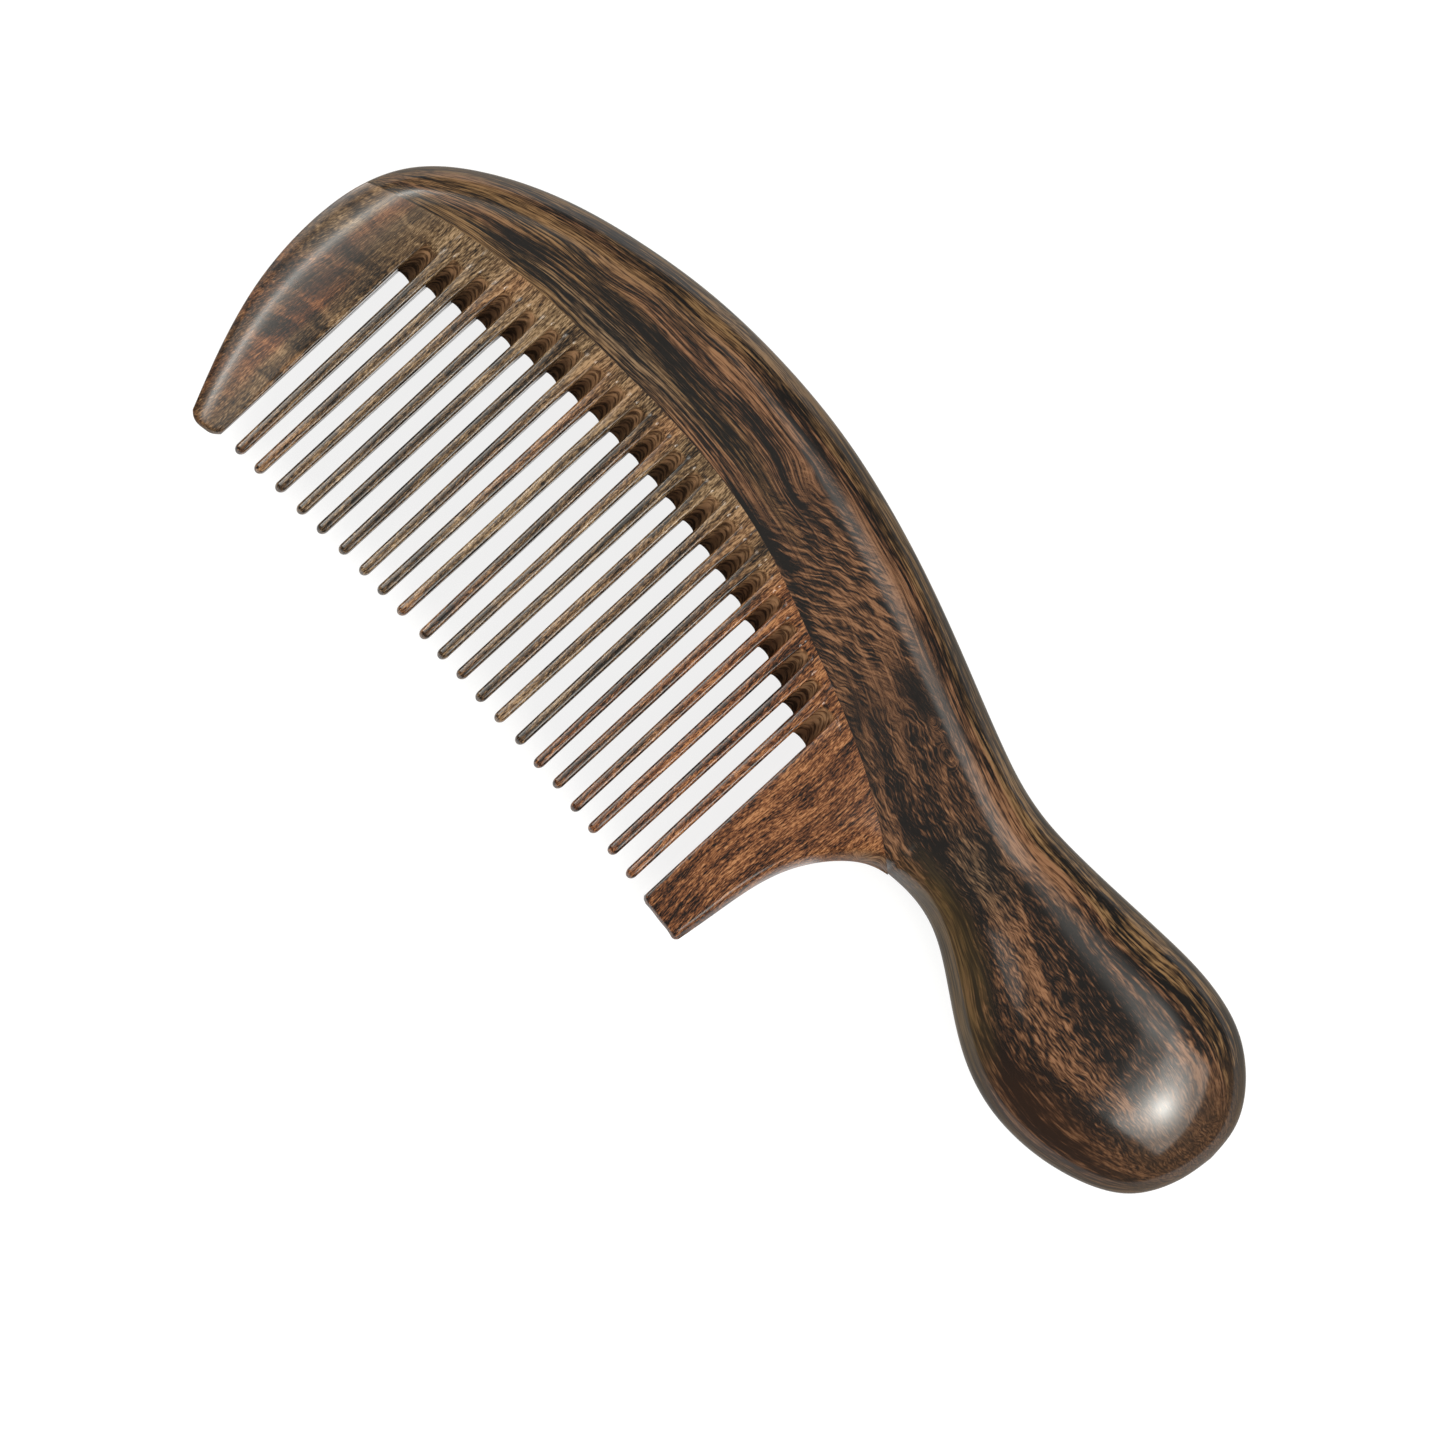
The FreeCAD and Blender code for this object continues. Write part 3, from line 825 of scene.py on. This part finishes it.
def outline_height(tree, x, points):
    """Height of a line of the plan at this x, as a share of the back's height."""
    return tree.curve(tree.math("DIVIDE", x, LENGTH), [(px / LENGTH, py / BACK_TOP_Y) for px, py in points])


def finish_polish(tree, colour, height, polish, coat_roughness, z, worn_to):
    """Wax polish, which handling has worn dull along the narrow edges."""
    tree.links.new(colour, tree.shader.inputs["Base Color"])
    tree.shader.inputs["Roughness"].default_value = WOOD_DIFFUSE_ROUGHNESS
    tree.shader.inputs["Specular IOR Level"].default_value = WOOD_SPECULAR
    left = tree.span(tree.math("ABSOLUTE", z), 0.3 * worn_to, worn_to, WORN_POLISH, 1.0)
    tree.put(tree.shader.inputs["Coat Weight"], tree.times(left, polish))
    tree.put(tree.shader.inputs["Coat Roughness"], coat_roughness)
    bump = tree.nodes.new("ShaderNodeBump")
    bump.inputs["Strength"].default_value = BUMP_STRENGTH
    bump.inputs["Distance"].default_value = BUMP_DISTANCE
    tree.links.new(height, bump.inputs["Height"])
    tree.links.new(bump.outputs[0], tree.shader.inputs["Normal"])
    return tree.material


# Colours from dark to light, each with its tone.
RED_WOOD = [(0.38, (18, 13, 10)), (0.47, (58, 38, 25)), (0.55, (101, 68, 45)), (0.68, (152, 109, 78))]
OLIVE_WOOD = [(0.38, (18, 14, 10)), (0.47, (60, 43, 26)), (0.55, (100, 74, 46)), (0.68, (148, 114, 76))]
# Greyer colours for the greyer patches; the long patch along the joint at the head end is painted sheen.
GREY_WOOD_AND_SHEEN = [(0.38, (22, 18, 15)), (0.47, (64, 51, 39)), (0.55, (104, 84, 64)), (0.68, (142, 119, 92))]
TOOTH_RED = [(0.35, (25, 16, 11)), (0.46, (84, 50, 31)), (0.56, (136, 85, 52)), (0.70, (192, 137, 92))]
TOOTH_BROWN = [(0.35, (25, 19, 13)), (0.46, (76, 57, 39)), (0.56, (119, 94, 66)), (0.70, (178, 149, 114))]

# Elliptical patches of the plan: middle, half length and half width, angle in degrees and how much is
# added there. The knots push the grain up or down, and the other patches make the wood lighter or darker;
# the light ones along the ridge and the neck are partly painted sheen.
BACK_KNOTS = [
    ((76.5, 55.6), (8.0, 4.2), 0.0, 0.1),
    ((112.0, 46.6), (3.2, 1.7), -20.0, 0.16),
    ((117.5, 45.2), (3.4, 1.6), -15.0, -0.14),
    ((33.0, 55.0), (9.0, 2.5), 14.0, 0.05),
]
BACK_MARKS_AND_SHEEN = [
    ((24.0, 50.4), (12.0, 2.2), 26.0, -0.20),
    ((47.0, 54.6), (24.0, 2.0), 2.0, -0.20),
    ((60.0, 52.0), (11.0, 2.4), 0.0, -0.13),
    ((98.0, 47.2), (7.0, 2.2), -18.0, -0.10),
    ((76.0, 47.2), (17.0, 1.6), -8.0, -0.16),
    ((93.0, 41.2), (11.0, 2.2), -27.0, -0.14),
    ((106.5, 47.8), (8.0, 2.0), -18.0, -0.16),
    ((113.0, 46.0), (5.0, 1.2), -12.0, 0.10),
    # Painted sheen along the ridge, over the pink band of the wood.
    ((100.0, 53.0), (26.0, 3.0), -19.0, 0.05),
    # Lighter neck top: partly the pink of the wood, partly painted sheen.
    ((134.0, 45.0), (22.0, 2.6), -8.0, 0.12),
    ((157.0, 47.4), (16.0, 1.6), 8.0, 0.12),
    ((142.0, 36.6), (19.0, 1.5), -27.0, 0.13),
    ((157.0, 39.0), (19.0, 6.5), -2.0, -0.11),
    ((128.0, 33.6), (16.0, 3.6), -8.0, -0.05),
    ((60.0, 62.0), (40.0, 3.0), 0.0, 0.05),
    ((166.0, 20.0), (18.0, 7.5), 0.0, -0.05),
]
TOOTH_MARKS = [
    ((108.5, 16.0), (26.0, 1.9), 84.0, 0.06),
    ((105.4, 12.0), (18.0, 1.3), 88.0, 0.04),
    ((119.0, 29.2), (4.0, 2.4), -30.0, 0.07),
    ((106.5, 1.0), (9.0, 9.0), 0.0, -0.06),
    ((104.0, 8.0), (2.6, 17.0), 0.0, -0.05),
    ((7.0, 20.0), (26.0, 9.0), 85.0, -0.05),
]
HANDLE_ROW = 14        # the first section of the handle past the joint
GRAIN_WIDTH = 21.0     # millimetres of grain from the lower edge of the back to its upper edge


def back_level(tree, x, y, wander):
    """How high a point is between the lower edge, at 0, and the upper edge, at 1, along the grain."""
    upper = [(0.0, 27.0)] + [row[:2] for row in SECTIONS[1:]] + [(LENGTH, 34.5)]
    underside = [row[2:4] for row in SECTIONS[HANDLE_ROW:]]
    lower = [(0.0, 38.0)] + JOINT_POINTS[1:-1] + underside + [(LENGTH, 33.0)]
    top = outline_height(tree, x, upper)
    low = outline_height(tree, x, lower)
    above = tree.math("SUBTRACT", tree.math("DIVIDE", y, BACK_TOP_Y), low)
    level = tree.math("DIVIDE", above, tree.math("MAXIMUM", tree.math("SUBTRACT", top, low), 0.05))
    return add_patches(tree, tree.sway(level, wander, 0.16), x, y, BACK_KNOTS)


def back_grain(tree, x, y, z, level, across, wander):
    """Tone of the back's grain, with the long hairs and the short hairs that it's made of."""
    long_hairs = fibres(tree, x, across, z, 0.1, 3.0, 2.0, 7.0)
    streaks = fibres(tree, x, across, z, 0.03, 0.75, 2.0, 5.0)
    waver = tree.sway(tree.sway(y, wander, 5.0), ripples(tree, x, y, z, 0.35), 1.6)
    slant_hairs = fibres(tree, *turned(tree, x, waver, 21.0), z, 0.3, 2.7, 2.0, 17.0)
    short_hairs = fibres(tree, *turned(tree, x, waver, -4.0), z, 0.42, 3.2, 2.0, 27.0)

    inner = tree.span(level, 0.62, 0.82, 1.0, 0.0)
    ragged_x = tree.sway(x, streaks, 40.0)
    under_ridge = tree.times(tree.span(ragged_x, 70.0, 84.0), tree.span(ragged_x, 98.0, 112.0, 1.0, 0.0))
    slanting = tree.times(under_ridge, inner)
    in_bulb = tree.times(tree.span(x, 103.0, 111.0), tree.times(inner, tree.span(level, 0.1, 0.28)))
    in_neck = tree.times(tree.span(x, 101.0, 109.0), tree.span(x, 128.0, 140.0, 1.0, 0.0))
    in_handle = tree.math("MAXIMUM", in_bulb, tree.times(in_neck, inner))
    soft_hairs = tree.span(short_hairs, 0.0, 1.0, 0.1, 0.87, False)

    grain = tree.sway(long_hairs, streaks, 0.55)
    grain = tree.span(slanting, 0.0, 1.0, grain, slant_hairs, False)
    grain = tree.span(in_handle, 0.0, 1.0, grain, soft_hairs, False)
    leaning = tree.math("MULTIPLY_ADD", slanting, tree.times(x, -0.35), across)
    pores = fibres(tree, x, leaning, z, 0.6, 5.5, 1.0, 37.0)
    return tree.sway(grain, pores, 0.45), long_hairs, short_hairs


def make_back_wood():
    """Dark wood with black and tan streaks that follow the curve of the back and turn at its knots."""
    tree = Tree("polished_back_wood")
    x, y, z = position(tree)
    wander = fibres(tree, x, y, z, 0.045, 0.07, 1.0, 3.0)
    level = back_level(tree, x, y, wander)
    across = tree.times(level, GRAIN_WIDTH)
    grain, long_hairs, short_hairs = back_grain(tree, x, y, z, level, across, wander)
    clouds = fibres(tree, x, across, z, 0.035, 0.3, 1.0, 1.0)
    # Includes the painted sheen along the ridge and the neck.
    marks_and_sheen = add_patches(tree, tree.times(tree.math("SUBTRACT", clouds, 0.5), 0.45), x, y, BACK_MARKS_AND_SHEEN)
    tone = tree.add(tree.add(grain, marks_and_sheen), tree.span(x, 75.0, 110.0, 0.0, -0.035))

    hue = fibres(tree, x, across, z, 0.02, 0.16, 1.0, 15.0)
    redness = tree.math("MULTIPLY_ADD", tree.span(x, 30.0, 85.0), 0.26, tree.times(hue, 0.6))
    # Painted reflection: less red along the upper edge, standing in for the olive reflection of its rounded
    # rim.
    redness = tree.math("MULTIPLY_ADD", tree.span(level, 0.8, 0.95), -0.5, redness)
    colour = tree.mix(tree.span(redness, 0.28, 0.5), tree.ramp(tone, OLIVE_WOOD), tree.ramp(tone, RED_WOOD))
    # Greyer patches on the neck and along the joint at the head end; the long one along the joint is
    # painted sheen.
    grey_tone_and_sheen = tree.math("MAXIMUM", patch(tree, x, y, (132.5, 37.0), (11.0, 6.5), -15.0),
                        patch(tree, x, y, (42.0, 50.2), (26.0, 3.0), 3.0))
    colour = tree.mix(tree.times(grey_tone_and_sheen, 0.75), colour, tree.ramp(tone, GREY_WOOD_AND_SHEEN))
    plain = tree.mix(tree.span(long_hairs, 0.35, 0.65), srgb(56, 43, 22), srgb(94, 74, 40))
    under_neck = tree.math("MAXIMUM", patch(tree, x, y, (136.0, 26.5), (17.0, 6.5), -20.0, 0.3),
                           patch(tree, x, y, (147.0, 20.0), (16.0, 6.0), -32.0, 0.2))
    colour = tree.mix(tree.times(under_neck, 0.85), colour, plain)
    under_bulb = patch(tree, x, y, (166.0, 18.5), (22.0, 9.0), 2.0, 0.3)
    colour = tree.mix(tree.times(under_bulb, 0.5), colour, srgb(58, 34, 16))
    brown = tree.mix(tree.span(short_hairs, 0.3, 0.7), srgb(48, 32, 19), srgb(98, 68, 43))
    bulb_end = patch(tree, x, y, (183.0, 33.0), (15.0, 19.0), 0.0, 0.3)
    colour = tree.mix(tree.times(bulb_end, 0.7), colour, brown)
    # Painted reflection: the narrow edges are turned plain olive, standing in for the dark reflection that
    # the steep rims show.
    rim = tree.span(tree.math("ABSOLUTE", z), 4.2, 0.6)
    colour = tree.mix(tree.times(rim, 0.7), colour, plain)
    height = tree.add(grain, tree.times(long_hairs, 0.5))
    coat_roughness = tree.span(x, 112.0, 140.0, 0.18, 0.12)
    return finish_polish(tree, colour, height, 1.0, coat_roughness, z, BACK_WORN_TO)


def end_grain_colour(tree, x, y, z):
    """Growth rings that arch over each gap, on the end grain in its saw cut."""
    number = tree.math("DIVIDE", tree.math("SUBTRACT", x, FIRST_TOOTH_X), PITCH)
    off_middle = tree.math("SUBTRACT", tree.math("FRACT", number), 0.5)
    arched = tree.math("MULTIPLY_ADD", tree.times(off_middle, off_middle), 11.0, tree.math("ABSOLUTE", z))
    rings = tree.noise(tree.join(tree.times(x, 0.5), tree.times(y, 0.4), tree.times(arched, 2.8)), 2.0)
    return tree.mix(tree.span(rings, 0.38, 0.62), srgb(66, 46, 32), srgb(168, 128, 94))


def cut_polish(tree, x, y):
    """Share of the polish, most of which the edges of the saw cuts near the joint lack."""
    beyond = BACK_TOP_Y / 2.0
    joint = outline_height(tree, x, [(0.0, beyond)] + JOINT_POINTS[1:-1] + [(LENGTH, beyond)])
    below_joint = tree.math("SUBTRACT", tree.times(joint, BACK_TOP_Y), y)
    outside_cuts = tree.math("MAXIMUM", tree.span(below_joint, 8.0, 11.0), tree.span(x, 13.5, 12.5))
    return tree.math("MAXIMUM", outside_cuts, tree.span(facing(tree, 2), 0.86, 0.99, 0.05, 1.0))


def make_tooth_wood():
    """Wood cut so that the grain runs down the teeth, with short light pore lines."""
    tree = Tree("polished_tooth_wood")
    x, y, z = position(tree)
    in_head = tree.span(x, 13.0, 16.0, 1.0, 0.0)
    wander = fibres(tree, y, x, z, 0.03, 0.05, 1.0, 2.0)
    lean = tree.span(x, 13.0, 4.0, 0.0, 0.35)
    across = tree.math("MULTIPLY_ADD", wander, 5.0, x)
    across = tree.math("MULTIPLY_ADD", tree.times(lean, y), -1.0, across)
    bands = fibres(tree, y, across, z, 0.02, 0.38, 2.0, 4.0)
    streaks = fibres(tree, y, across, z, 0.1, 2.2, 2.0, 6.0)
    pores = fibres(tree, y, tree.math("MULTIPLY_ADD", y, 0.05, across), z, 1.3, 6.5, 1.0, 8.0)
    growth_along, growth_across = turned(tree, x, y, 17.0)
    growth_across = tree.sway(growth_across, ripples(tree, x, y, z, 0.3), 3.0)
    growth = fibres(tree, growth_along, growth_across, z, 0.05, 0.5, 2.0, 21.0)

    banding = tree.math("MINIMUM", tree.span(in_head, 0.0, 1.0, 0.45, 0.12),
                        tree.span(x, 101.0, 106.0, 0.45, 0.2))
    tone = tree.sway(0.48, bands, banding)
    tone = tree.sway(tone, streaks, tree.span(in_head, 0.0, 1.0, 0.65, 0.35))
    tone = tree.sway(tone, pores, tree.span(x, 5.0, 16.0, 0.5, 0.7))
    tone = tree.add(tone, tree.span(x, 101.0, 106.0, 0.0, 0.025))
    growing = tree.times(tree.times(in_head, 0.48), tree.span(y, 2.0, 10.0))
    tone = tree.sway(tone, growth, growing)
    tone = tree.math("MULTIPLY_ADD", tree.span(y, 36.0, 43.0), 0.05, tone)
    tone = add_patches(tree, tone, x, y, TOOTH_MARKS)

    hue = fibres(tree, y, across, z, 0.03, 0.12, 1.0, 12.0)
    redness = tree.math("MULTIPLY_ADD", tree.span(x, 60.0, 108.0), 0.4, tree.times(hue, 0.7))
    reddish = tree.times(tree.times(in_head, growth), tree.span(y, 36.0, 22.0))
    redness = tree.math("MULTIPLY_ADD", reddish, 0.22, redness)
    brown = tree.ramp(tone, TOOTH_BROWN)
    colour = tree.mix(tree.span(redness, 0.32, 0.62), brown, tree.ramp(tone, TOOTH_RED))
    end_grain = tree.times(tree.span(facing(tree, 1), 0.3, 0.8), tree.span(y, 20.0, 30.0))
    colour = tree.mix(end_grain, colour, end_grain_colour(tree, x, y, z))
    height = tree.add(streaks, tree.times(pores, 0.8))
    softness = tree.times(tree.span(x, 9.0, 15.0, 1.0, 0.0), tree.span(y, 8.0, 26.0, 0.4, 1.0))
    coat_roughness = tree.math("MULTIPLY_ADD", softness, 0.14, 0.14)
    return finish_polish(tree, colour, height, cut_polish(tree, x, y), coat_roughness, z, TOOTH_WORN_TO)


def dress(pieces):
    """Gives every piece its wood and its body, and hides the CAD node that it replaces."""
    back = make_back_wood()
    teeth = make_tooth_wood()
    for node, piece in pieces.items():
        piece.data.materials.append(back if node == "back_and_handle" else teeth)
        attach(piece, "root")
        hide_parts(node)


make_camera()
make_stage()
dress(make_pieces())
